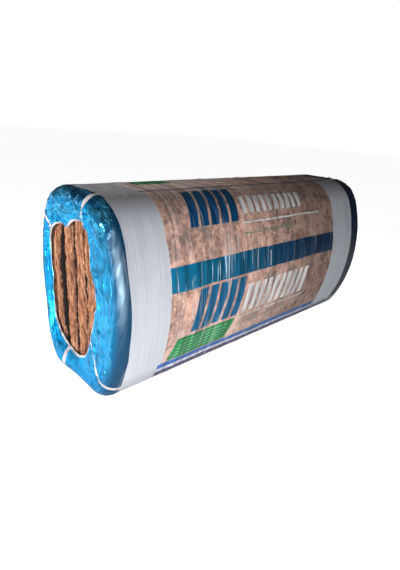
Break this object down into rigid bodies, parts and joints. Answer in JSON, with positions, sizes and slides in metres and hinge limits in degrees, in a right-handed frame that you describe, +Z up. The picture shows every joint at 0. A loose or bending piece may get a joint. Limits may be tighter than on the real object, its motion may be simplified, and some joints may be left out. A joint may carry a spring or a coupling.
{
  "type": "wrapped pack of mineral wool boards",
  "caption": "Shrink-wrapped pack of pressed mineral wool boards standing on edge: a bulged printed film sleeve, gathered over each end round a ragged opening that shows the board ends.",
  "frame": {"origin": "middle of the pack's footprint, on the floor", "axes": "+X along the boards, +Y across the stack towards the back, +Z up"},
  "size_m": [1.2822, 0.4658, 0.6026],
  "materials": {
    "film": "glossy shrink film, printed blue and white, hazy clear over the long sides",
    "wool": "matt brown mineral fibre, layered and pressed"
  },
  "bodies": {
    "root": {"film_sleeve": "film", "board_1": "wool", "board_2": "wool", "board_3": "wool", "board_4": "wool", "board_5": "wool", "board_6": "wool", "board_7": "wool"}
  },
  "joints": []
}
